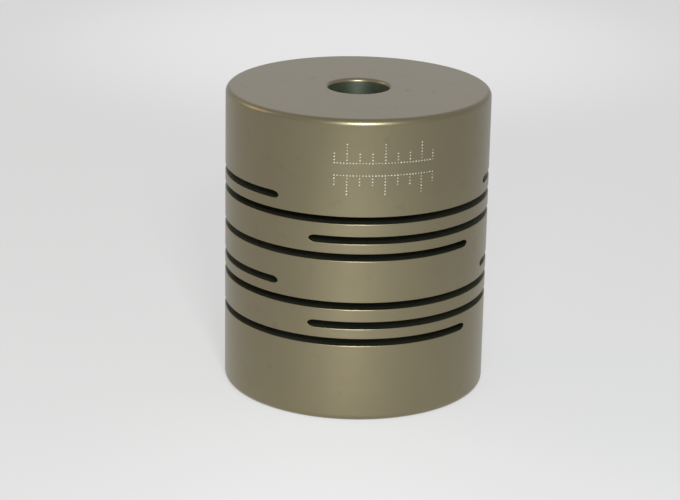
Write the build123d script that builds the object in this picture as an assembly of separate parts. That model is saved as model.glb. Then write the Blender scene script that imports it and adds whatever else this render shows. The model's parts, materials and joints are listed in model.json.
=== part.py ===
"""One-piece slit coupling for two 6 mm shafts, with the four set screws that hold them.

The coupling is a single turned bar. Eight narrow slits are milled across it in two groups of
four, each one from the side opposite to the web that it leaves standing. The webs of one
group face -Y, +Y, -X and +X in turn, so that the bar bends about both cross axes.
Every size is in millimetres. The frame stands on the lower end face, with the bore along +Z.
"""

import os

from build123d import *

# Turned bar
outer_diameter = 26.0
overall_length = 30.0
rim_bevel = 0.5
bore_diameter = 6.0
bore_bevel = 0.1

# Slits: a plate is what is left between two slits
slit_width = 0.7
slit_corner = 0.2
web_thickness = 2.85
cutter_radius = 25.0
paired_plate = 1.0
link_plate = 1.25
middle_plate = 2.45

# Tapped holes, two in each hub at a right angle
thread_diameter = 4.0
screw_from_end = 4.0
countersink = 0.25

# Set screws with a hexagon socket and a cup point
screw_length = 6.0
thread_clearance = 0.02
shaft_clearance = 0.05
screw_end_chamfer = 0.3
socket_across_flats = 2.0
socket_depth = 2.5
cup_diameter = 2.0
cup_depth = 0.6

outer_radius = outer_diameter / 2
bore_radius = bore_diameter / 2
hole_radius = thread_diameter / 2
screw_radius = hole_radius - thread_clearance

# The turns that bring +X to the side of each web of one group, from the top slit down
WEB_TURNS = (Rot(0, 0, -90), Rot(0, 0, 90), Rot(0, 0, 180), Rot(0, 0, 0))
# The turns that bring +Z to the side of each set screw of one hub
SCREW_TURNS = {"x": Rot(0, 90, 0), "y": Rot(0, 0, 90) * Rot(0, 90, 0)}
# The round walls' seam lies on the side that has no tapped hole
SEAM_TURN = Rot(0, 0, -135)


def slit_heights():
    """Heights of the slits' mid planes in both groups, each from its top one down."""
    paired_pitch = slit_width + paired_plate
    link_pitch = slit_width + link_plate
    group_span = 2 * paired_pitch + link_pitch
    steps = (0, paired_pitch, paired_pitch + link_pitch, group_span)
    middle = overall_length / 2
    to_slit = (middle_plate + slit_width) / 2
    tops = (middle + to_slit + group_span, middle - to_slit)
    return [[top - step for step in steps] for top in tops]


def slit_cutter():
    """The disc that mills a slit. Its edge is bevelled, so that the slit ends nearly round."""
    half = slit_width / 2
    outline = Polyline(
        (0, -half),
        (cutter_radius - slit_corner, -half),
        (cutter_radius, slit_corner - half),
        (cutter_radius, half - slit_corner),
        (cutter_radius - slit_corner, half),
        (0, half),
        close=True,
    )
    return revolve(Plane.XZ * make_face(outline), Axis.Z)


def turned_bar():
    """The bar with its bore and its four bevelled edges."""
    bar = Cylinder(outer_radius, overall_length) - Cylinder(bore_radius, overall_length)
    circles = bar.edges().filter_by(GeomType.CIRCLE).sort_by(SortBy.RADIUS)
    bar = chamfer(circles[:2], bore_bevel)
    circles = bar.edges().filter_by(GeomType.CIRCLE).sort_by(SortBy.RADIUS)
    bar = chamfer(circles[-2:], rim_bevel)
    return Pos(0, 0, overall_length / 2) * SEAM_TURN * bar


def milled_slits():
    """Every slit cutter at the depth that leaves its web."""
    centre_offset = cutter_radius - (outer_radius - web_thickness)
    cutter = Pos(-centre_offset, 0, 0) * slit_cutter()
    return [
        Pos(0, 0, height) * turn * cutter
        for group in slit_heights()
        for height, turn in zip(group, WEB_TURNS)
    ]


def screw_places():
    """The place of each screw: its origin on the bore's axis, its +Z out along the hole."""
    heights = {"upper": overall_length - screw_from_end, "lower": screw_from_end}
    return {
        f"{hub}_set_screw_{side}": Pos(0, 0, height) * turn
        for hub, height in heights.items()
        for side, turn in SCREW_TURNS.items()
    }


def tapped_hole():
    """A hole from the axis to beyond the outer wall, with a countersunk mouth."""
    up = (Align.CENTER, Align.CENTER, Align.MIN)
    hole = Cylinder(hole_radius, outer_diameter, align=up)
    reach = 2 * countersink
    mouth = Cone(hole_radius, hole_radius + reach, reach, align=up)
    return hole + Pos(0, 0, outer_radius - countersink) * mouth


def coupling_body():
    """The bar with its slits and its four tapped holes."""
    holes = [place * tapped_hole() for place in screw_places().values()]
    return turned_bar() - milled_slits() - holes


def set_screw():
    """A cup point set screw along +Z, at its place off the bore's axis."""
    tip = bore_radius + shaft_clearance
    head = tip + screw_length
    cup = cup_diameter / 2
    outline = Polyline(
        (0, tip + cup_depth),
        (cup, tip),
        (screw_radius, tip + screw_radius - cup),
        (screw_radius, head - screw_end_chamfer),
        (screw_radius - screw_end_chamfer, head),
        (0, head),
        close=True,
    )
    screw = revolve(Plane.XZ * make_face(outline), Axis.Z)
    flats = RegularPolygon(socket_across_flats / 2, 6, major_radius=False)
    return screw - extrude(Pos(0, 0, head) * flats, -socket_depth)


def write_parts():
    """One STEP file for each piece."""
    pieces = {"coupling_body": coupling_body()}
    for name, place in screw_places().items():
        pieces[name] = place * set_screw()
    os.makedirs("parts", exist_ok=True)
    for name, piece in pieces.items():
        export_step(piece, f"parts/{name}.step")
        print(f"{name}: {piece.volume:.2f} mm3")


write_parts()
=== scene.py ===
# %% [markdown]
# # A flexible slit coupling
#
# A flexible coupling joins two shafts that are not quite in line. This one is a single turned
# bar of aluminium: narrow slits are milled across it from alternate sides, so that the bar
# bends like a spring but hardly twists. Two set screws in each end hold the shafts.
#
# The frame gives the real sizes and the places of the pieces. The looks are built around it:
# first the skin of the bar with its slits, holes and peened marks, then the screws, then the
# finishes, and last the studio.

# %% Load the frame
import json
from functools import partialmethod
from math import degrees, pi, radians

import bmesh
import bpy
import numpy as np
from mathutils import Matrix, Quaternion, Vector
from mathutils.geometry import tessellate_polygon

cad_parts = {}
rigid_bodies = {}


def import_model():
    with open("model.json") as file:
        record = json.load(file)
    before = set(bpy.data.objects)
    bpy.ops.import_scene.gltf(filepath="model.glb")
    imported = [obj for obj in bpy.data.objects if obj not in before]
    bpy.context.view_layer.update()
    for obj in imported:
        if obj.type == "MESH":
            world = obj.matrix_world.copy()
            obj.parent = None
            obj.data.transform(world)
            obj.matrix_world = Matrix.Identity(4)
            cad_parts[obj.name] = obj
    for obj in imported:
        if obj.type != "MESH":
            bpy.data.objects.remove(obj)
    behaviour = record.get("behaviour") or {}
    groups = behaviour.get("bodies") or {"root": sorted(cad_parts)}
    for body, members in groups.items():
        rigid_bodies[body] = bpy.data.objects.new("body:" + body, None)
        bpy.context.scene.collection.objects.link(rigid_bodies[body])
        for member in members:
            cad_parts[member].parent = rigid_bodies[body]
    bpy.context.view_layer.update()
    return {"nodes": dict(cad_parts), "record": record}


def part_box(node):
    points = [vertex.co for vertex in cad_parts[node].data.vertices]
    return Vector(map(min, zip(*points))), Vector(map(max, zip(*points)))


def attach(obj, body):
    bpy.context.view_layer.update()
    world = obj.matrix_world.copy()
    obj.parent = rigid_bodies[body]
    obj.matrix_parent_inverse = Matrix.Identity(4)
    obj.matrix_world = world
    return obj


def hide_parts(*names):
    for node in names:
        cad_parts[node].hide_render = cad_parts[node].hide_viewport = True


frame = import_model()
print("Nodes:", sorted(frame["nodes"]))

# %% [markdown]
# ## Sizes
#
# Blender works in metres, so each size is written in millimetres and multiplied by `MM`. The
# bar's radius and length and the bore come from the frame, and what the frame can't give is
# named here: the slits, the threads and the small roundings that a toolmaker leaves on edges.

# %% Sizes of the bar and its slits
MM = 0.001
# Two angles or lengths that differ by less are taken as equal, and points this close are welded
TINY = 1e-9
WELD = 1e-7

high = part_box("coupling_body")[1]
outer_radius, length = high.x, high.z
mounts = {mount["name"]: mount for mount in frame["record"]["mounts"]}
bore_radius = mounts["upper_bore"]["dims"]["r_mm"] * MM
hole_height = mounts["upper_bore"]["pos_m"][2]

rim_round = 0.6 * MM
bore_round = 0.35 * MM

slit_half = 0.35 * MM
slit_edge = 0.07 * MM
web_thickness = 2.85 * MM
cell_height = 0.3 * MM
cells_below_hole = 12
cutter_radius = 25 * MM
cutter_offset = cutter_radius - (outer_radius - web_thickness)
paired_plate = 1.0 * MM
link_plate = 1.25 * MM
middle_plate = 2.45 * MM
paired_pitch = 2 * slit_half + paired_plate
link_pitch = 2 * slit_half + link_plate
group_span = 2 * paired_pitch + link_pitch
group_tops = [length / 2 + side * (middle_plate / 2 + slit_half) for side in (1, -1)]
group_tops[0] += group_span

print(f"Bar {2 * outer_radius / MM:.2f} x {length / MM:.2f} mm, bore {2 * bore_radius / MM:.2f} mm")

# %% [markdown]
# ## Places round the bar
#
# Everything on a turned bar is easiest to place by an angle, a radius and a height. Here an
# angle runs from -Y, the front, towards +X. `around` gives points, and with a radius of 1 and
# a height of 0 it also gives the normals of the round wall.
#
# The wall's columns are the same on each quarter turn, so that any ring of them fits itself
# after a quarter turn. They also pass through the angles where a slit runs out of the wall.

# %% Columns round the bar
def around(angle, radius, height):
    """Points at an angle from the front, a radius and a height."""
    angle, radius, height = np.broadcast_arrays(angle, radius, height)
    return np.stack([radius * np.sin(angle), -radius * np.cos(angle), height], axis=-1)


def crossing(reach, radius):
    """The angle at which a cutter of this reach runs out through a wall of this radius."""
    return np.arccos((reach**2 - radius**2 - cutter_offset**2) / (2 * radius * cutter_offset))


web_angle = crossing(cutter_radius - slit_half, outer_radius)
wide_columns, narrow_columns = 26, 14
quarter = np.concatenate(
    [
        np.linspace(0, pi / 2 - web_angle, wide_columns, endpoint=False),
        np.linspace(pi / 2 - web_angle, web_angle, narrow_columns, endpoint=False),
        np.linspace(web_angle, pi / 2, wide_columns, endpoint=False),
    ]
)
ring = np.concatenate([quarter + turn * pi / 2 for turn in range(4)])
wide_angle = quarter[1]
bore_ring = np.linspace(0, 2 * pi, 72, endpoint=False)
print(f"{len(ring)} columns; a web spans {degrees(2 * web_angle):.1f} degrees")

# %% [markdown]
# ## A skin with true normals
#
# A boolean would cut the slits, but it leaves ragged faces that shade badly on a round wall.
# The surfaces are simple enough to lay out as grids instead, each one with the normal of the
# true surface at every corner. `Skin` collects such grids.
#
# The normal is kept in three parts: away from the axis, round it, and up. These don't change
# when a copy is turned about the axis, so Geometry Nodes may place copies and weld them, and
# the real normals are worked out at the end. `finish` says which tool left the surface.

# %% Collect surfaces
FINISHES = ["turned", "faced", "milled", "bored", "tapped", "peened"]


def new_object(name, data):
    """A new object in the scene."""
    made = bpy.data.objects.new(name, data)
    bpy.context.scene.collection.objects.link(made)
    return made


def wall_directions(points):
    """For each point, the directions away from the axis and round it."""
    reach = np.linalg.norm(points[:, :2], axis=1, keepdims=True)
    away = points[:, :2] / np.maximum(reach, TINY)
    level = np.zeros(len(points))
    return np.column_stack([away, level]), np.column_stack([-away[:, 1], away[:, 0], level])


class Skin:
    """Faces with the normal of the true surface at each corner, and the finish of each face."""

    def __init__(self, name):
        self.name = name
        self.blocks = []

    def add(self, points, normals, faces, finish):
        """Adds faces, each turned so that it looks the way that its normals do."""
        normals = np.broadcast_to(np.asarray(normals, float), points.shape)
        faces = np.array(faces)
        corners = points[faces]
        looks = np.cross(corners[:, 1] - corners[:, 0], corners[:, -1] - corners[:, 0])
        wrong = (looks * normals[faces].sum(axis=1)).sum(axis=1) < 0
        faces[wrong] = faces[wrong][:, ::-1]
        self.blocks.append((points, normals, faces, finish))

    def add_upside_down(self, other, height):
        """Adds another skin, turned over about half that height."""
        flip = np.array([1, 1, -1])
        for points, normals, faces, finish in other.blocks:
            self.add(points * flip + [0, 0, height], normals * flip, faces, finish)

    def sheet(self, points, normals, finish, closed=True, keep=None):
        """A grid of rows and columns. A closed sheet joins its last column to the first."""
        rows, columns = points.shape[:2]
        index = np.arange(rows * columns).reshape(rows, columns)
        if closed:
            index = np.hstack([index, index[:, :1]])
        quads = np.stack([index[:-1, :-1], index[:-1, 1:], index[1:, 1:], index[1:, :-1]], axis=-1)
        quads = quads.reshape(-1, 4) if keep is None else quads[keep]
        normals = np.broadcast_to(normals, points.shape).reshape(-1, 3)
        self.add(points.reshape(-1, 3), normals, quads, finish)

    def plate(self, outer, inner, up, finish):
        """A flat face between an outer and an inner loop."""
        loops = [[Vector(point) for point in loop] for loop in (outer, inner)]
        triangles = tessellate_polygon(loops)
        self.add(np.vstack([outer, inner]), (0, 0, up), triangles, finish)

    def absorb(self, mesh, finish, axes=(0, 1, 2)):
        """The faces of a mesh with their own normals, its axes taken in another order."""
        corner_points = np.array([mesh.vertices[loop.vertex_index].co for loop in mesh.loops])
        corner_normals = np.array([normal.vector for normal in mesh.corner_normals])
        for sides in (3, 4):
            loops = [list(face.loop_indices) for face in mesh.polygons if face.loop_total == sides]
            if loops:
                self.add(corner_points[:, axes], corner_normals[:, axes], loops, finish)

    def mesh_object(self):
        """The skin as an object. Each corner keeps its normal as the attribute lean."""
        points = np.vstack([block[0] for block in self.blocks])
        normals = np.vstack([block[1] for block in self.blocks])
        away, along = wall_directions(points)
        lean = np.column_stack(
            [(normals * away).sum(axis=1), (normals * along).sum(axis=1), normals[:, 2]]
        )
        faces, finishes, start = [], [], 0
        for block_points, _, block_faces, finish in self.blocks:
            faces += (block_faces + start).tolist()
            finishes += [FINISHES.index(finish)] * len(block_faces)
            start += len(block_points)
        corners = [corner for face in faces for corner in face]
        mesh = bpy.data.meshes.new(self.name)
        mesh.from_pydata(points.tolist(), [], faces, shade_flat=False)
        mesh.attributes.new("lean", "FLOAT_VECTOR", "CORNER")
        mesh.attributes["lean"].data.foreach_set("vector", lean[corners].ravel())
        mesh.attributes.new("finish", "INT", "FACE")
        mesh.attributes["finish"].data.foreach_set("value", finishes)
        print(f"{self.name}: {len(faces)} faces")
        return new_object(self.name, mesh)


# %% [markdown]
# ## One slit
#
# A slit is cut by a disc that comes in from the back of its web. Its flats are level, its inner
# wall is the half-round groove that the disc's edge leaves, and where that groove runs out of
# the bar the slit ends in the long soft point that such couplings show.
#
# `slit_ends` walks up the half-round groove from its floor to its ceiling. The edge all round
# the opening is broken by a small curve, as deburring leaves it.

# %% Ends of a slit
end_steps = 12
climb = np.linspace(-pi / 2, pi / 2, end_steps + 1)
cutter_reach = cutter_radius - slit_half * (1 - np.cos(climb))
climb_height = slit_half * np.sin(climb)
cutter_centre = np.array([0, cutter_offset, 0])


def slit_ends():
    """The points where the groove leaves the wall, and the lips on both sides of that edge."""
    mouth = crossing(cutter_reach, outer_radius)
    run = np.stack(
        [-np.cos(climb), np.sin(climb) * cutter_reach / (cutter_offset * np.sin(mouth))]
    )
    run *= slit_edge / np.linalg.norm(run, axis=0)
    inside = crossing(cutter_reach, outer_radius - slit_edge)
    return mouth, mouth + run[0] / outer_radius, climb_height + run[1], inside


mouth, lip_angle, lip_height, inside = slit_ends()
groove_angle = np.arcsin((outer_radius - slit_edge) * np.sin(inside) / cutter_reach)


def groove_normals(angle):
    """Normals of the half-round groove at angles about the cutter's axis, row by row."""
    tilt = climb[:, None]
    return -np.stack(
        [np.cos(tilt) * np.sin(angle), -np.cos(tilt) * np.cos(angle), np.sin(tilt) + 0 * angle],
        axis=-1,
    )


print(f"A slit runs out {degrees(mouth.max() - mouth.min()):.1f} degrees past its flats")

# %% [markdown]
# The broken edge follows a closed path: along the ceiling, down one end, back along the floor
# and up the other end. Each of its points has a lip on the wall, the sharp corner that was
# there before deburring, and a lip inside the slit. A curve through the three is the edge.

# %% The broken edge round the opening
open_angles = ring[(ring > web_angle - TINY) & (ring < 2 * pi - web_angle + TINY)]
between = open_angles[1:-1]


def long_edge(side, angles):
    """Outer lips, corners, inner lips and their two normals along the ceiling or the floor."""
    return [
        around(angles, outer_radius, side * (slit_half + slit_edge)),
        around(angles, outer_radius, side * slit_half),
        around(angles, outer_radius - slit_edge, side * slit_half),
        around(angles, 1, 0),
        np.tile([0, 0, -side], (len(angles), 1)),
    ]


def end_edge(side):
    """The same along one end, from the floor up."""
    angles = side * groove_angle[:, None]
    return [
        around(side * lip_angle, outer_radius, lip_height),
        around(side * mouth, outer_radius, climb_height),
        around(side * inside, outer_radius - slit_edge, climb_height),
        around(side * lip_angle, 1, 0),
        groove_normals(angles)[:, 0],
    ]


def broken_edge(skin, steps=3):
    """The deburred edge all round the opening."""
    stretches = [
        long_edge(1, between),
        [part[::-1] for part in end_edge(-1)],
        long_edge(-1, between[::-1]),
        end_edge(1),
    ]
    outer, corner, inner, wall, slit = (np.vstack(parts) for parts in zip(*stretches))
    rows, normals = [], []
    for step in np.linspace(0, 1, steps + 1):
        back = 1 - step
        rows.append(back * back * outer + 2 * back * step * corner + step * step * inner)
        lean = back * wall + step * slit
        normals.append(lean / np.linalg.norm(lean, axis=1, keepdims=True))
    skin.sheet(np.stack(rows), np.stack(normals), "turned")


# %% [markdown]
# The rest of the slit is four kinds of sheet: the wall in front of the web, the groove behind
# it, a level strip of wall above and below, and the two flats with the bore's hole in them.

# %% Wall, groove and flats
wall_start = hole_height - cells_below_hole * cell_height
slit_margin = wall_start - group_tops[0]


def slit_skin():
    """One slit with its web at the front and its middle at height 0, round the whole bar."""
    skin = Skin("slit")
    left = ring[ring > 2 * pi - web_angle - TINY] - 2 * pi
    web = np.concatenate([left, ring[ring < web_angle + TINY]])
    share = web[None, :] / web_angle
    angles = share * lip_angle[:, None]
    skin.sheet(around(angles, outer_radius, lip_height[:, None]), around(angles, 1, 0), "turned", False)

    turned = share * groove_angle[:, None]
    groove = around(turned, cutter_reach[:, None], climb_height[:, None]) + cutter_centre
    skin.sheet(groove, groove_normals(turned), "milled", False)
    broken_edge(skin)

    for side in (1, -1):
        heights = side * np.array([[slit_half + slit_edge], [slit_margin]])
        skin.sheet(around(ring, outer_radius, heights), around(ring, 1, 0), "turned")
        rest = around(between, outer_radius - slit_edge, side * slit_half)
        outline = np.vstack([groove[-1 if side > 0 else 0], rest])
        hole = around(bore_ring, bore_radius, side * slit_half)
        skin.plate(outline, hole, -side, "milled")
    return skin


slit = slit_skin().mesh_object()

# %% [markdown]
# ## The turned bar between the slits
#
# The rest is what the lathe made: the round wall in bands between the slits, the bore, the two
# end faces and their rims. The rims and the bore's mouths are rounded. In each hub the wall is
# laid out in even cells, which leaves square windows for the tapped holes and one for the
# peened marks.

# %% Cells of a hub
window = 9
bore_window_half = 2.6 * MM
bore_cell_height = bore_window_half / window
hole_turns = (pi / 2, pi)
mark_columns, mark_rows = 33, 17
mark_first_column, mark_first_row = -21, 1

window_rows = hole_height + cell_height * np.arange(-window, window + 1)
below_window = np.arange(wall_start, window_rows[0] - WELD, cell_height)
above_window = np.linspace(window_rows[-1], length - rim_round, 4)[1:]
hub_rows = np.concatenate([below_window, window_rows, above_window])


def cells_to_keep(rows, columns, gaps):
    """True for each cell of a sheet, apart from gaps (first row, rows, first column, columns)."""
    keep = np.ones((rows, columns), bool)
    for first_row, row_count, first_column, column_count in gaps:
        places = np.arange(first_column, first_column + column_count) % columns
        keep[first_row : first_row + row_count, places] = False
    return keep


def window_gaps(first_row, columns):
    """The windows for a hub's two tapped holes."""
    middles = [round(turn / (2 * pi) * columns) for turn in hole_turns]
    return [(first_row, 2 * window, middle - window, 2 * window) for middle in middles]


# %% Hubs and plates
def rounded_edge(skin, angles, radius, size, side, finish):
    """A round between a wall and the end face, for a wall that faces out (1) or in (-1)."""
    bend = np.linspace(0, pi / 2, 9)[:, None]
    rows = around(angles, radius - side * size * (1 - np.cos(bend)), length - size * (1 - np.sin(bend)))
    skin.sheet(rows, around(angles, side * np.cos(bend), np.sin(bend)), finish)
    return rows[-1]


def hub(skin, marked):
    """The upper end of the bar, from above the top slit."""
    columns = len(ring)
    gaps = window_gaps(len(below_window), columns)
    if marked:
        gaps.append((mark_first_row, mark_rows, mark_first_column, mark_columns))
    keep = cells_to_keep(len(hub_rows) - 1, columns, gaps)
    skin.sheet(around(ring, outer_radius, hub_rows[:, None]), around(ring, 1, 0), "turned", keep=keep)

    rim = rounded_edge(skin, ring, outer_radius, rim_round, 1, "turned")
    bore_mouth = rounded_edge(skin, bore_ring, bore_radius, bore_round, -1, "faced")
    skin.plate(rim, bore_mouth, 1, "faced")

    inner_rows = hole_height + bore_cell_height * np.arange(-window, window + 1)
    ends = group_tops[0] + slit_half, length - bore_round
    bore_rows = np.concatenate([ends[:1], inner_rows, ends[1:]])
    keep = cells_to_keep(len(bore_rows) - 1, len(bore_ring), window_gaps(1, len(bore_ring)))
    wall = around(bore_ring, bore_radius, bore_rows[:, None])
    skin.sheet(wall, around(bore_ring, -1, 0), "bored", keep=keep)


def band(skin, bottom, top):
    """The wall and the bore between the middles of two slits."""
    heights = np.array([[bottom + slit_margin], [top - slit_margin]])
    skin.sheet(around(ring, outer_radius, heights), around(ring, 1, 0), "turned")
    heights = np.array([[bottom + slit_half], [top - slit_half]])
    skin.sheet(around(bore_ring, bore_radius, heights), around(bore_ring, -1, 0), "bored")


def turned_bar():
    """Everything that the lathe made."""
    skin = Skin("bar")
    hub(skin, marked=True)
    plain_hub = Skin("plain_hub")
    hub(plain_hub, marked=False)
    skin.add_upside_down(plain_hub, length)
    steps = np.array([0, paired_pitch, paired_pitch + link_pitch, group_span])
    slits = np.concatenate([top - steps for top in group_tops])
    for top, bottom in zip(slits, slits[1:]):
        band(skin, bottom, top)
    return skin


bar = turned_bar().mesh_object()

# %% [markdown]
# ## Nodes as expressions
#
# Node trees read best as formulas. `Field` wraps one output of a node, so that adding or
# comparing two of them adds the Math node that does it. `Graph.node` makes any other node from
# its type, its settings and its inputs. Both serve Geometry Nodes and shaders alike.
#
# `Pattern` is a Geometry Nodes tree with named inputs. Its inputs are set by identifier before
# Blender evaluates the object, and the result is turned into a plain mesh.

# %% Fields, graphs and patterns
class Field:
    """One output of a node, which takes part in expressions."""

    def __init__(self, graph, socket):
        self.graph, self.socket = graph, socket

    def math(self, operation, *others):
        return self.graph.node("ShaderNodeMath", {"operation": operation}, [self, *others])

    __add__ = __radd__ = partialmethod(math, "ADD")
    __sub__ = partialmethod(math, "SUBTRACT")
    __mul__ = __rmul__ = partialmethod(math, "MULTIPLY")
    __truediv__ = partialmethod(math, "DIVIDE")
    __mod__ = partialmethod(math, "FLOORED_MODULO")
    __pow__ = partialmethod(math, "POWER")
    __gt__ = partialmethod(math, "GREATER_THAN")
    __lt__ = partialmethod(math, "LESS_THAN")
    __abs__ = partialmethod(math, "ABSOLUTE")

    def __rsub__(self, other):
        return self.graph.node("ShaderNodeMath", {"operation": "SUBTRACT"}, [other, self])

    def clamp(self, least=0.0, most=1.0):
        return self.math("MAXIMUM", least).math("MINIMUM", most)

    def output(self, name):
        """Another output of the same node."""
        return Field(self.graph, self.socket.node.outputs[name])


class Graph:
    """A node tree that is written as expressions."""

    def __init__(self, tree):
        self.tree = tree

    def node(self, kind, settings=(), inputs=(), output=0):
        """A node: first its settings, then the values or links of its inputs, by name or place."""
        made = self.tree.nodes.new(kind)
        for name, value in dict(settings).items():
            setattr(made, name, value)
        named = inputs.items() if isinstance(inputs, dict) else enumerate(inputs)
        for name, value in named:
            for item in value if isinstance(value, list) else [value]:
                if isinstance(item, Field):
                    self.tree.links.new(item.socket, made.inputs[name])
                else:
                    made.inputs[name].default_value = item
        return Field(self, made.outputs[output])

    def parts(self, vector):
        """The three parts of a vector."""
        split = self.node("ShaderNodeSeparateXYZ", (), [vector])
        return split, split.output("Y"), split.output("Z")

    def vector(self, x, y, z):
        return self.node("ShaderNodeCombineXYZ", (), [x, y, z])


class Pattern(Graph):
    """A Geometry Nodes tree with named inputs, listed by kind."""

    def __init__(self, name, sockets):
        super().__init__(bpy.data.node_groups.new(name, "GeometryNodeTree"))
        face = self.tree.interface
        face.new_socket("Geometry", in_out="INPUT", socket_type="NodeSocketGeometry")
        for kind, labels in sockets.items():
            for label in labels:
                face.new_socket(label, in_out="INPUT", socket_type="NodeSocket" + kind)
        face.new_socket("Geometry", in_out="OUTPUT", socket_type="NodeSocketGeometry")
        self.entry = self.tree.nodes.new("NodeGroupInput")

    def given(self, name):
        """One of the tree's own inputs."""
        return Field(self, self.entry.outputs[name])

    def place(self, count, instance, height, turn, **more):
        """Copies of an instance, each turned about the axis and lifted."""
        inputs = {"Count": count, "Position": self.vector(0, 0, height)}
        points = self.node("GeometryNodePoints", (), inputs)
        inputs = {"Points": points, "Instance": instance, "Rotation": self.vector(0, 0, turn)}
        return self.node("GeometryNodeInstanceOnPoints", (), {**inputs, **more})

    def end(self, geometry):
        """The tree's result."""
        self.tree.links.new(geometry.socket, self.tree.nodes.new("NodeGroupOutput").inputs[0])

    def run(self, target, values):
        """The target's mesh after the tree, as a new mesh."""
        modifier = target.modifiers.new(self.tree.name, "NODES")
        modifier.node_group = self.tree
        for item in self.tree.interface.items_tree:
            if item.in_out == "INPUT" and item.name in values:
                modifier[item.identifier] = values[item.name]
        depsgraph = bpy.context.evaluated_depsgraph_get()
        mesh = bpy.data.meshes.new_from_object(
            target.evaluated_get(depsgraph), preserve_all_data_layers=True, depsgraph=depsgraph
        )
        target.modifiers.remove(modifier)
        if mesh.materials and mesh.materials[0] is None:
            mesh.materials.pop(index=0)
        return mesh


# %% [markdown]
# ## Threads
#
# The holes and the screws have a metric thread, a V-shaped groove that climbs one pitch with
# each turn. A screw modifier could sweep it, but a thread that follows a rule is simpler as a
# field: at each point of a plain tube, the angle and the height give the place in the pitch,
# and that gives the radius. A hole takes the larger of that radius and its own, a screw the
# smaller, so that the thread dies out in a countersink and at a chamfer by itself.

# %% A thread as a field
thread_pitch = 0.7 * MM
hole_radius = 2.0 * MM
hole_minor = 1.62 * MM
crest_half = 1 / 8
root_half = 1 / 16
sharp_angle = radians(40)


def thread_pattern():
    """Cuts a thread into a tube, or onto a rod, that stands along Z."""
    sockets = {"Float": ["Pitch", "Minor", "Major", "Inside"], "Material": ["Finish"]}
    tree = Pattern("thread", sockets)
    across, along, height = tree.parts(tree.node("GeometryNodeInputPosition"))
    radius = (across**2 + along**2) ** 0.5
    turns = along.math("ARCTAN2", across) / (2 * pi)
    place = (height / tree.given("Pitch") - turns) % 1
    flank = ((abs(place - 0.5) - crest_half) / (0.5 - root_half - crest_half)).clamp()
    minor, major = tree.given("Minor"), tree.given("Major")
    groove = minor + (major - minor) * flank
    inside = tree.given("Inside")
    larger, smaller = radius.math("MAXIMUM", groove), radius.math("MINIMUM", groove)
    cut = smaller + (larger - smaller) * inside
    stretch = cut / radius.math("MAXIMUM", TINY)
    position = tree.vector(across * stretch, along * stretch, height)
    inputs = {"Geometry": tree.given("Geometry"), "Position": position}
    moved = tree.node("GeometryNodeSetPosition", (), inputs)
    real = tree.node("GeometryNodeRealizeInstances", (), {"Geometry": moved})
    inputs = {"Geometry": real, "Material": tree.given("Finish")}
    tree.end(tree.node("GeometryNodeSetMaterial", (), inputs))
    return tree


thread = thread_pattern()

# %% [markdown]
# ## A tapped hole
#
# The hole is a threaded tube between two round walls, with a countersunk mouth. In the wall it
# sits in a square window of cells. Walking once round the square and once round the mouth in
# the same number of steps gives rows that change smoothly from one into the other.

# %% Tube and its two windows
columns = 8 * window
walk = np.arange(columns) / columns
across, upward = np.cos(2 * pi * walk), np.sin(2 * pi * walk)
countersink = 0.25 * MM
flare = 0.1 * MM


def square_walk(turns):
    """The sideways place on a square of half width 1 that is walked round once."""
    return np.clip(2 - abs((turns * 8 + 4) % 8 - 4), -1, 1)


def revolved(name, radii, heights):
    """A wall along Z from rows of radii and heights. It faces right of the way that they run."""
    radii, heights = np.broadcast_arrays(radii, heights)
    runs = np.gradient(radii, axis=0), np.gradient(heights, axis=0)
    skin = Skin(name)
    points = np.stack([radii * across, radii * upward, heights], axis=-1)
    skin.sheet(points, np.stack([runs[1] * across, runs[1] * upward, -runs[0]], axis=-1), "tapped")
    return skin.mesh_object()


def mouth_of_hole():
    """The countersink's outer edge, where its cone meets the round wall."""
    radius = np.full(columns, hole_radius + countersink)
    for _ in range(8):
        wall = np.sqrt(outer_radius**2 - (radius * across) ** 2)
        radius = hole_radius + wall - (outer_radius - countersink)
    return radius


def window_patch(skin, wall_radius, square, mouth_radius, facing, finish):
    """The wall between a square window, half (angle, height) wide, and the hole's edge."""
    share = np.array([0, 0.35, 0.7, 1])[:, None]
    angles = (1 - share) * square[0] * square_walk(walk)
    angles = angles + share * np.arcsin(mouth_radius * across / wall_radius) + pi / 2
    heights = (1 - share) * square[1] * square_walk(walk - 0.25) + share * mouth_radius * upward
    skin.sheet(around(angles, wall_radius, heights), around(angles, facing, 0), finish)


def hole_skin():
    """A tapped hole along +X, at height 0."""
    skin = Skin("tapped_hole")
    mouth_radius = mouth_of_hole()
    square = window * wide_angle, window * cell_height
    window_patch(skin, outer_radius, square, mouth_radius, 1, "turned")
    square = window * bore_ring[1], window * bore_cell_height
    window_patch(skin, bore_radius, square, np.full(columns, hole_radius), -1, "bored")

    bottom = bore_radius + flare
    depths = np.arange(outer_radius - countersink, bottom, -thread_pitch / 6)
    radii = hole_radius - np.minimum(outer_radius - countersink - depths, depths - bottom)
    radii = np.maximum(radii, hole_minor)[:, None] + 0 * walk
    ends = [
        np.sqrt(wall**2 - (radius * across) ** 2)
        for wall, radius in ((outer_radius, mouth_radius), (bore_radius, hole_radius))
    ]
    radii = np.vstack([mouth_radius, radii, np.full((2, columns), hole_radius)])
    flats = np.full((1, columns), bottom)
    heights = np.vstack([ends[0], depths[:, None] + 0 * walk, flats, ends[1]])
    tube = revolved("tube", radii, heights)
    sizes = {"Pitch": thread_pitch, "Minor": hole_minor, "Major": hole_radius, "Inside": 1.0}
    threaded = thread.run(tube, sizes)
    bpy.data.objects.remove(tube)
    threaded.set_sharp_from_angle(angle=sharp_angle)
    skin.absorb(threaded, "tapped", axes=(2, 0, 1))
    return skin


hole = hole_skin().mesh_object()

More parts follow.
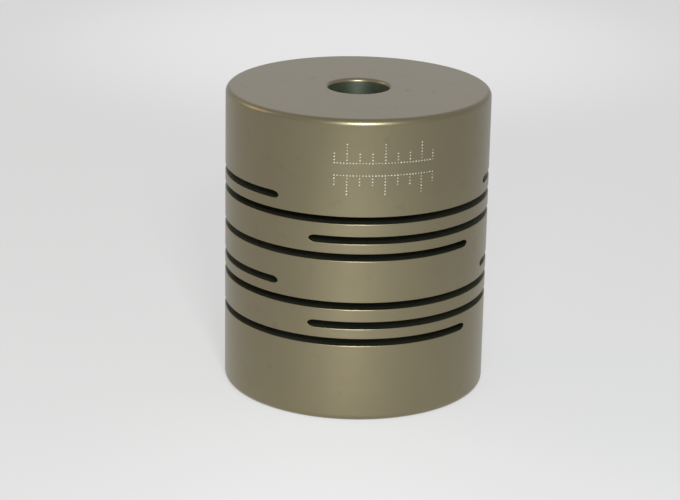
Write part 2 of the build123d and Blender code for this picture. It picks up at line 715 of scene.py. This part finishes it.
# %% [markdown]
# ## Peened marks
#
# The upper hub carries marks that a pin has hammered in, dot by dot. They show as two rows of
# pale dots, because the pin breaks through the anodised layer. Here the dots form a double
# graduation: a base line on each side of a blank strip, with ticks that point away from it.
#
# Each dot is a real dimple in one cell of the wall. Blender picks one of three dimples for each
# dot, because a pin never strikes twice with the same force.

# %% Cells with and without a dimple
# Shares of a dimple's radius and depth and the slope there, from its edge in
DIMPLE_ROWS = [(1, 0, 0.5), (0.85, 0.3, 1.2), (0.55, 0.75, 1.0), (0.25, 0.96, 0.4)]
DIMPLES = {"deep": (0.086, 0.05), "middling": (0.077, 0.04), "light": (0.062, 0.025)}


def cell_corners():
    """The corners of one cell at the front, in order round it."""
    sides = np.array([-1, 1, 1, -1]) * wide_angle / 2
    rises = np.array([-1, -1, 1, 1]) * cell_height / 2
    return around(sides, outer_radius, rises)


def plain_cell():
    skin = Skin("plain_cell")
    corners = cell_corners()
    skin.add(corners, around(corners[:, 0] / outer_radius, 1, 0), [[0, 1, 2, 3]], "turned")
    return skin


def peened_cell(name, radius, depth):
    """One cell with a round dimple of this radius and depth."""
    skin = Skin(name)
    turn = radians(-135) + np.arange(12) * pi / 6
    share, sunk, slope = np.array(DIMPLE_ROWS).T[:, :, None]
    side, rise = radius * share * np.cos(turn), radius * share * np.sin(turn)
    points = around(side / outer_radius, outer_radius - depth * sunk, rise)

    flat = np.vstack([cell_corners(), points[0]])
    fans = [
        [corner, 4 + (3 * corner + step) % 12, 4 + (3 * corner + step + 1) % 12]
        for corner in range(4)
        for step in (-1, 0, 1)
    ]
    fans += [[corner, (corner + 1) % 4, 4 + 3 * corner + 2] for corner in range(4)]
    skin.add(flat, around(flat[:, 0] / outer_radius, 1, 0), fans, "turned")

    steep = slope * depth / radius
    lean = np.stack([-steep * np.cos(turn), -1 + 0 * steep * turn, -steep * np.sin(turn)], axis=-1)
    skin.sheet(points, lean / np.linalg.norm(lean, axis=-1, keepdims=True), "peened")
    bottom = np.vstack([points[-1], [[0, depth - outer_radius, 0]]])
    skin.add(bottom, (0, -1, 0), [[i, (i + 1) % 12, 12] for i in range(12)], "peened")
    return skin


peened_cells = bpy.data.collections.new("peened_cells")
for name, (radius, depth) in DIMPLES.items():
    cell = peened_cell(name, radius * MM, depth * MM).mesh_object()
    bpy.context.scene.collection.objects.unlink(cell)
    peened_cells.objects.link(cell)
plain = plain_cell().mesh_object()

# %% [markdown]
# ## The whole body
#
# One tree places what repeats and welds it to the turned bar. The slits follow a rule: within
# a group the webs face the front, the back, the left and the right in turn, and the plates
# between two slits are alternately a paired plate and a link. The second group repeats the
# first. Each finish then gets its own material.

# %% Rules for slits, holes and marks
BODY_SOCKETS = {
    "Object": ["Slit", "Tapped Hole", "Plain Cell"],
    "Collection": ["Peened Cells"],
    "Float": [
        *("Upper Top", "Lower Top", "Paired Pitch", "Link Pitch", "Hole Height", "Length"),
        *("Cell Height", "Cell Angle", "First Angle", "First Height"),
    ],
    "Int": ["Mark Columns", "Mark Rows", "Seed"],
}


def shape_of(tree, name):
    """The geometry of an object that the tree is given."""
    info = tree.node("GeometryNodeObjectInfo", (), {"Object": tree.given(name)})
    return info.output("Geometry")


def place_slits(tree):
    """Four slits in each group."""
    number = tree.node("GeometryNodeInputIndex")
    place = number % 4
    group = number > 3.5
    pair = (place / 2).math("FLOOR")
    top = tree.given("Upper Top") * (1 - group) + tree.given("Lower Top") * group
    paired = tree.given("Paired Pitch") * ((place + 1) / 2).math("FLOOR")
    height = top - paired - tree.given("Link Pitch") * pair
    return tree.place(8, shape_of(tree, "Slit"), height, (place % 2) * pi - pair * pi / 2)


def place_holes(tree):
    """Two tapped holes in each hub, a quarter turn apart."""
    number = tree.node("GeometryNodeInputIndex")
    upper = number > 1.5
    from_end = tree.given("Hole Height")
    height = from_end * upper + (tree.given("Length") - from_end) * (1 - upper)
    return tree.place(4, shape_of(tree, "Tapped Hole"), height, (number % 2) * pi / 2)


base_row, tick_row = 2, 5
tick_every, long_every = 4, 12


def place_marks(tree):
    """Cells in columns and rows, with a dimple wherever the graduation has a dot."""
    number = tree.node("GeometryNodeInputIndex")
    columns, rows = tree.given("Mark Columns"), tree.given("Mark Rows")
    column = number % columns
    row = (number / columns).math("FLOOR")
    away = abs(row - (rows - 1) / 2)
    marked = away > base_row - 0.5
    base = marked * (away < base_row + 0.5)
    tick = (column % tick_every < 0.5) * marked * (away < tick_row + 0.5)
    long_tick = (abs(column % long_every - tick_every) < 0.5) * marked
    dot = (base + tick + long_tick) > 0.5
    height = tree.given("First Height") + row * tree.given("Cell Height")
    turn = tree.given("First Angle") + column * tree.given("Cell Angle")
    cells = columns * rows
    bare = tree.place(cells, shape_of(tree, "Plain Cell"), height, turn, Selection=1 - dot)
    apart = {"Separate Children": True, "Reset Children": True}
    inputs = {"Collection": tree.given("Peened Cells"), **apart}
    dimples = tree.node("GeometryNodeCollectionInfo", (), inputs)
    inputs = {4: 0, 5: 2, "Seed": tree.given("Seed")}
    choice = tree.node("FunctionNodeRandomValue", {"data_type": "INT"}, inputs, output=2)
    pick = {"Selection": dot, "Pick Instance": True, "Instance Index": choice}
    return [bare, tree.place(cells, dimples, height, turn, **pick)]


# %% Weld the body and give it its finishes
def body_pattern(finishes):
    """The turned bar with everything that is placed on it, welded and finished."""
    tree = Pattern("slit_coupling", {**BODY_SOCKETS, "Material": list(finishes)})
    parts = [tree.given("Geometry"), place_slits(tree), place_holes(tree), *place_marks(tree)]
    joined = tree.node("GeometryNodeJoinGeometry", (), {"Geometry": parts})
    real = tree.node("GeometryNodeRealizeInstances", (), {"Geometry": joined})
    shape = tree.node("GeometryNodeMergeByDistance", (), {"Geometry": real, "Distance": WELD})
    finish = tree.node("GeometryNodeInputNamedAttribute", {"data_type": "INT"}, {"Name": "finish"})
    for number, name in enumerate(finishes):
        here = (finish > number - 0.5) * (finish < number + 0.5)
        inputs = {"Geometry": shape, "Selection": here, "Material": tree.given(name)}
        shape = tree.node("GeometryNodeSetMaterial", (), inputs)
    tree.end(shape)
    return tree


def give_true_normals(mesh):
    """Works out each corner's real normal from its lean."""
    corners = np.empty(len(mesh.loops), np.int32)
    mesh.loops.foreach_get("vertex_index", corners)
    points = np.empty(3 * len(mesh.vertices), np.float32)
    mesh.vertices.foreach_get("co", points)
    lean = np.empty(3 * len(mesh.loops), np.float32)
    mesh.attributes["lean"].data.foreach_get("vector", lean)
    lean = lean.reshape(-1, 3)
    away, along = wall_directions(points.reshape(-1, 3)[corners])
    normals = lean[:, :1] * away + lean[:, 1:2] * along + lean[:, 2:] * [0, 0, 1]
    mesh.attributes.remove(mesh.attributes["lean"])
    mesh.normals_split_custom_set(normals.tolist())


# %% [markdown]
# ## Finishes
# The faces in the slits get a darker, greener tint, which is painted shade, and the bore a lighter,
# greener one, which is partly a painted reflection.
#
# The bar is anodised in a dull champagne colour. On a metal the base colour is the colour of
# its reflection, so it is kept close to what the eye sees under plain light. What changes over
# the surface is small: turning lines that run round the wall, a fine grain from etching, and a
# few places where hands and chips have dulled or polished the layer. The oxide itself is clear
# and is a weak coat over the metal: it greys the face that is seen at a low angle.
#
# `Finish` is a graph that ends in one shader. Values that are the same all over are set on
# the shader itself; only what varies is linked.

# %% One material as a graph
class Finish(Graph):
    """A material whose shader is fed by expressions."""

    def __init__(self, name, fixed):
        self.material = bpy.data.materials.new(name)
        self.material.use_nodes = True
        super().__init__(self.material.node_tree)
        self.shader = self.tree.nodes["Principled BSDF"]
        for label, value in fixed.items():
            self.shader.inputs[label].default_value = value
        self.place = self.node("ShaderNodeTexCoord").output("Object")

    def mix(self, share, first, second):
        """A colour between two colours."""
        return self.node("ShaderNodeMix", {"data_type": "RGBA"}, {0: share, 6: first, 7: second}, 2)

    def noise(self, place, scale, detail=2.0, rough=0.5):
        """Soft noise from 0 to 1 at features of about 1 / scale."""
        inputs = {"Vector": place, "Scale": scale, "Detail": detail, "Roughness": rough}
        return self.node("ShaderNodeTexNoise", (), inputs)

    def bump(self, height, depth):
        """A normal from a height of 0 to 1, which stands for this depth."""
        return self.node("ShaderNodeBump", (), {"Height": height, "Strength": 1.0, "Distance": depth})

    def feed(self, **links):
        """Links fields to the shader, by the names of its sockets."""
        for label, field in links.items():
            self.tree.links.new(field.socket, self.shader.inputs[label.replace("_", " ")])
        return self.material


# %% Anodised aluminium, as each tool left it, with painted shade in the slits and a partly painted reflection in the bore
CHAMPAGNE = (0.273, 0.236, 0.144, 1)
CHAMPAGNE_DEEP = (0.236, 0.203, 0.123, 1)
# Darker and greener than the bar: painted shade on the faces inside the slits
SHADED = (0.215, 0.22, 0.155, 1)
SHADED_DEEP = (0.18, 0.185, 0.13, 1)
# Lighter and greener than the bar: the reamed bore, with a painted reflection in its colour
REAMED_PAINTED_REFLECTION = (0.305, 0.34, 0.27, 1)
REAMED_PAINTED_REFLECTION_DEEP = (0.255, 0.285, 0.225, 1)
CLEAR_COAT = {"Coat Weight": 0.36, "Coat IOR": 1.5, "Coat Roughness": 0.3}
cloud_size, smudge_size, grain_size = 5 * MM, 1.6 * MM, 0.09 * MM
# How often a tool mark changes along its length, per metre
round_changes, ring_changes, milled_changes = 120, 90, 300


def anodised(name, lines, line_depth, roughness, tint=(CHAMPAGNE_DEEP, CHAMPAGNE)):
    """An anodised surface. lines gives the place in the tool marks from the point."""
    look = Finish(name, {"Metallic": 1.0, **CLEAR_COAT})
    marks = look.noise(lines(look), 1.0, 3.0, 0.6)
    grain = look.noise(look.place, 1 / grain_size, 2.0, 0.6)
    cloud = look.noise(look.place, 1 / cloud_size, 3.0, 0.55)
    smudge = ((look.noise(look.place, 1 / smudge_size, 2.0) - 0.64) * 6).clamp()
    shade = (cloud * 0.7 + marks * 0.3 + grain * 0.3 - 0.13 - smudge * 0.8).clamp()
    surface = roughness + (cloud - 0.5) * 0.06 + (grain - 0.5) * 0.10 + smudge * 0.04
    relief = marks * 0.7 + grain * 0.3
    return look.feed(
        Base_Color=look.mix(shade, *tint),
        Roughness=surface,
        Normal=look.bump(relief, line_depth),
    )


def round_lines(look):
    """Marks that run round the bar, about 0.08 mm apart."""
    x, y, z = look.parts(look.place)
    return look.vector(x * round_changes, y * round_changes, z / (0.08 * MM))


def ring_lines(look):
    """Marks in rings about the axis, on a face."""
    x, y, _ = look.parts(look.place)
    radius = (x**2 + y**2) ** 0.5
    return look.vector(radius / (0.09 * MM), x * ring_changes, y * ring_changes)


def milling_lines(look):
    """Fine marks that the slitting disc left, along its path."""
    x, y, z = look.parts(look.place)
    return look.vector((x + y) / (0.15 * MM), (x - y) * milled_changes, z / (0.1 * MM))


def bare_metal():
    """The bottom of a peened dot, where the layer is broken and the alloy shows."""
    look = Finish("peened_metal", {"Metallic": 1.0})
    grain = look.noise(look.place, 1 / (0.05 * MM), 2.0)
    return look.feed(
        Base_Color=look.mix(grain, (0.39, 0.375, 0.315, 1), (0.66, 0.64, 0.56, 1)),
        Roughness=0.42 + grain * 0.3,
        Normal=look.bump(grain, 0.006 * MM),
    )


finishes = {
    "turned": anodised("anodised_turned", round_lines, 0.0009 * MM, 0.36),
    "faced": anodised("anodised_faced", ring_lines, 0.0011 * MM, 0.36),
    # The milled faces carry painted shade in their tint; the bore's tint is partly a painted reflection
    "milled": anodised("anodised_milled", milling_lines, 0.003 * MM, 0.45, (SHADED_DEEP, SHADED)),
    "bored": anodised("anodised_bored", round_lines, 0.0015 * MM, 0.42, (REAMED_PAINTED_REFLECTION_DEEP, REAMED_PAINTED_REFLECTION)),
    "tapped": anodised("anodised_tapped", ring_lines, 0.002 * MM, 0.4),
    "peened": bare_metal(),
}
print("Finishes:", ", ".join(material.name for material in finishes.values()))

# %% Make the body
values = {
    "Slit": slit,
    "Tapped Hole": hole,
    "Plain Cell": plain,
    "Peened Cells": peened_cells,
    "Upper Top": group_tops[0],
    "Lower Top": group_tops[1],
    "Paired Pitch": paired_pitch,
    "Link Pitch": link_pitch,
    "Hole Height": hole_height,
    "Length": length,
    "Cell Height": cell_height,
    "Cell Angle": float(wide_angle),
    "Mark Columns": mark_columns,
    "Mark Rows": mark_rows,
    "First Angle": float((mark_first_column + 0.5) * wide_angle),
    "First Height": float(hub_rows[mark_first_row] + cell_height / 2),
    "Seed": 3,
    **finishes,
}


def finished_piece(name, mesh, slot, *nodes):
    """A piece on the one body of this part, in the place of its CAD node."""
    mesh.name = name
    piece = new_object(name, mesh)
    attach(piece, "root")
    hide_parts(*nodes)
    triangles = sum(face.loop_total - 2 for face in mesh.polygons)
    print(f"{name}: {triangles} triangles")


body_mesh = body_pattern(finishes).run(bar, values)
give_true_normals(body_mesh)
for helper in [bar, slit, hole, plain, *peened_cells.objects]:
    bpy.data.objects.remove(helper)
bpy.data.collections.remove(peened_cells)
finished_piece("slit_coupling_body", body_mesh, "anodised_aluminium", "coupling_body")

# %% [markdown]
# ## Set screws
#
# Each hub is held to its shaft by two screws with a hexagon socket and a cup point. Their ends
# just clear the shaft, and their heads sit below the wall. A screw is one wall turned along its
# axis: from the middle of the cup over the point, the thread and the head, then down into the
# socket, where the radius follows a hexagon. The same thread tree cuts its thread.

# %% A set screw along Z
screw_low, screw_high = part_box("upper_set_screw_x")
screw_tip, screw_head = screw_low.x, screw_high.x
screw_radius = (screw_high.y - screw_low.y) / 2
cup_radius = 1.0 * MM
cup_depth = 0.6 * MM
head_chamfer = 0.3 * MM
socket_half = 1.0 * MM
socket_flare = 1.06
socket_bevel = 0.05 * MM
socket_depth = 2.3 * MM
drill_depth = 0.3 * MM


def screw_wall():
    """Rows of radii and heights over the whole screw."""
    hexagon = socket_half / np.cos((2 * pi * walk + pi / 6) % (pi / 3) - pi / 6)
    shank = np.arange(screw_tip, screw_head, thread_pitch / 8)
    shank = np.append(shank, screw_head)
    reach = np.minimum(cup_radius + shank - screw_tip, screw_radius)
    reach = np.minimum(reach, screw_radius - head_chamfer + screw_head - shank)
    rows = [(0, screw_tip + cup_depth), (0.5 * cup_radius, screw_tip + cup_depth / 2)]
    rows += list(zip(reach, shank))
    rows += [
        (hexagon * socket_flare, screw_head),
        (hexagon, screw_head - socket_bevel),
        (hexagon, screw_head - socket_depth / 2),
        (hexagon, screw_head - socket_depth),
        (0.9 * socket_half, screw_head - socket_depth),
        (0, screw_head - socket_depth - drill_depth),
    ]
    radii = np.array([radius + 0 * walk for radius, _ in rows])
    heights = np.array([height + 0 * walk for _, height in rows])
    return radii, heights


def oxide():
    """Black oxide on steel: thin, a little oily, and worn to metal on the crests."""
    look = Finish("black_oxide", {"Metallic": 1.0, "Coat Roughness": 0.3})
    grain = look.noise(look.place, 1 / (0.08 * MM), 3.0)
    patch = look.noise(look.place, 1 / (0.9 * MM), 2.0)
    worn = ((patch + grain * 0.4 - 0.85) * 4).clamp()
    return look.feed(
        Base_Color=look.mix(worn, (0.045, 0.045, 0.05, 1), (0.16, 0.15, 0.145, 1)),
        Roughness=0.38 + grain * 0.16,
        Normal=look.bump(grain, 0.003 * MM),
    )


rod = revolved("screw", *screw_wall())
minor = screw_radius - (hole_radius - hole_minor)
sizes = {"Pitch": thread_pitch, "Minor": minor, "Major": screw_radius, "Inside": 0.0}
screw_mesh = thread.run(rod, {**sizes, "Finish": oxide()})
bpy.data.objects.remove(rod)
for name in ("lean", "finish"):
    screw_mesh.attributes.remove(screw_mesh.attributes[name])
merged = bmesh.new()
merged.from_mesh(screw_mesh)
bmesh.ops.remove_doubles(merged, verts=merged.verts, dist=WELD)
merged.to_mesh(screw_mesh)
merged.free()
screw_mesh.set_sharp_from_angle(angle=sharp_angle)

# %% One screw in each hole
for hub_name, height in (("upper", hole_height), ("lower", length - hole_height)):
    for side, turn in (("x", 0), ("y", pi / 2)):
        mesh = screw_mesh.copy()
        mesh.transform(Matrix.Rotation(2 * pi / 3, 4, (1, 1, 1)))
        mesh.transform(Matrix.Translation((0, 0, height)) @ Matrix.Rotation(turn, 4, "Z"))
        node = f"{hub_name}_set_screw_{side}"
        finished_piece(f"{hub_name}_cup_screw_{side}", mesh, "black_oxide_steel", node)

# %% [markdown]
# ## The studio
#
# Metal shows little of its own and much of what stands round it. An even pale surround gives the
# bar its quiet colour, and a compact key lamp near the camera draws the bright line on the rim
# and on the lips of the slits. A low spot brings out the foot. From behind, a warm lamp and a
# wide pale one edge the rim, and a spot lights the floor. Far away the floor fades into the
# surround, so that no horizon shows. It is a little darker there, because it also mirrors.
#
# Near the part the camera sees most of the floor's brightness as an even glow of its own, and
# metal mirrors some of it. That keeps the lamps' shadows faint, and it adds no lamp to the part.

# %% Floor and surround
PALE = (0.72, 0.72, 0.73, 1)
PALE_FLOOR = (0.74, 0.74, 0.75, 1), (0.76, 0.76, 0.77, 1)
FAR_FLOOR = (0.675, 0.675, 0.685, 1)
BLACK = (0, 0, 0, 1)
world_strength = 0.7
# Where the floor starts to fade into the surround, and over what distance
fade_start, fade_length = 0.17, 0.25
# The glow's share of the floor and its brightness: for the camera, then for a mirror
glow_share, glow_level = 0.65, 0.76
mirrored_share, mirrored_level = 0.3, 0.65


def floor():
    """A wide floor in the plane that the part stands on."""
    mesh = bpy.data.meshes.new("floor")
    reach = 6.0
    corners = [(-reach, -reach, 0), (reach, -reach, 0), (reach, reach, 0), (-reach, reach, 0)]
    mesh.from_pydata(corners, [], [(0, 1, 2, 3)])
    look = Finish("pale_floor", {"Roughness": 0.9, "Emission Strength": 1.0})
    x, y, _ = look.parts(look.place)
    far = (((x**2 + y**2) ** 0.5 - fade_start) / fade_length).clamp()
    cloud = look.noise(look.place, 1 / (80 * MM), 2.0)
    path = look.node("ShaderNodeLightPath")
    mirrored = path.output("Is Glossy Ray").math("MAXIMUM", path.output("Is Transmission Ray"))
    fill = path * glow_share + mirrored * mirrored_share
    light = path * (glow_share * glow_level) + mirrored * (mirrored_share * mirrored_level)
    near = look.mix(fill, look.mix(cloud, *PALE_FLOOR), BLACK)
    shine = look.mix(far, light, FAR_FLOOR)
    mesh.materials.append(look.feed(Base_Color=look.mix(far, near, BLACK), Emission_Color=shine))
    new_object("floor", mesh)


def surround():
    """An even pale world, which the camera sees a little brighter than it shines."""
    world = bpy.data.worlds.new("surround")
    world.use_nodes = True
    bpy.context.scene.world = world
    graph = Graph(world.node_tree)
    path = graph.node("ShaderNodeLightPath")
    seen = path.math("MAXIMUM", path.output("Is Transmission Ray"))
    background = world.node_tree.nodes["Background"]
    background.inputs["Color"].default_value = PALE
    strength = world_strength + (1 - world_strength) * seen
    world.node_tree.links.new(strength.socket, background.inputs["Strength"])


floor()
surround()

# %% Lamps
camera_turn = radians(-17.7)


def lamp(name, kind, place, target, power, colour=(1, 1, 1), **settings):
    """A lamp at one place that looks at another. Both are an angle, a distance and a height."""
    data = bpy.data.lights.new(name, kind)
    data.energy = power
    data.color = colour
    for label, value in settings.items():
        setattr(data, label, value)
    made = new_object(name, data)
    made.location = around(*place)
    aim = Vector(around(*target)) - made.location
    made.rotation_euler = aim.to_track_quat("-Z", "Y").to_euler()


middle = (0, 0, length / 2)
behind = (camera_turn + pi, 0.15, 0)
above_behind = (camera_turn + pi, 0.165, 0.4)
foot = (0, 0, 0)
soft = {"spot_blend": 1.0, "shadow_soft_size": 0.015}
lamp("key", "AREA", (camera_turn + radians(5), 0.127, 0.0945), middle, 0.145, (0.95, 1, 0.97), size=0.02)
lamp("low", "SPOT", (camera_turn - radians(5), 0.1, 0.027), foot, 0.27, spot_size=radians(24), **soft)
lamp("warm", "AREA", (camera_turn - radians(105), 0.26, 0.165), middle, 0.07, (1, 0.76, 0.45), size=0.1)
lamp("back", "AREA", (camera_turn + pi, 0.39, 0.24), middle, 0.05, size=0.3)
lamp("backdrop", "SPOT", above_behind, behind, 2.6, spot_size=radians(18), **soft)

# %% Camera
camera_distance, camera_height = 215.9 * MM, 84.2 * MM
camera_target = Vector((-1.46 * MM, 0.47 * MM, 13.07 * MM))
camera_roll = radians(1.085)

camera_data = bpy.data.cameras.new("camera")
camera_data.lens = 120.3
camera_data.sensor_width = 36
camera_data.clip_start = 0.01
camera = new_object("camera", camera_data)
camera.location = around(camera_turn, camera_distance, camera_height)
look_along = (camera_target - camera.location).to_track_quat("-Z", "Y")
camera.rotation_euler = (look_along @ Quaternion((0, 0, 1), camera_roll)).to_euler()
bpy.context.scene.camera = camera
bpy.context.scene.view_settings.view_transform = "Standard"
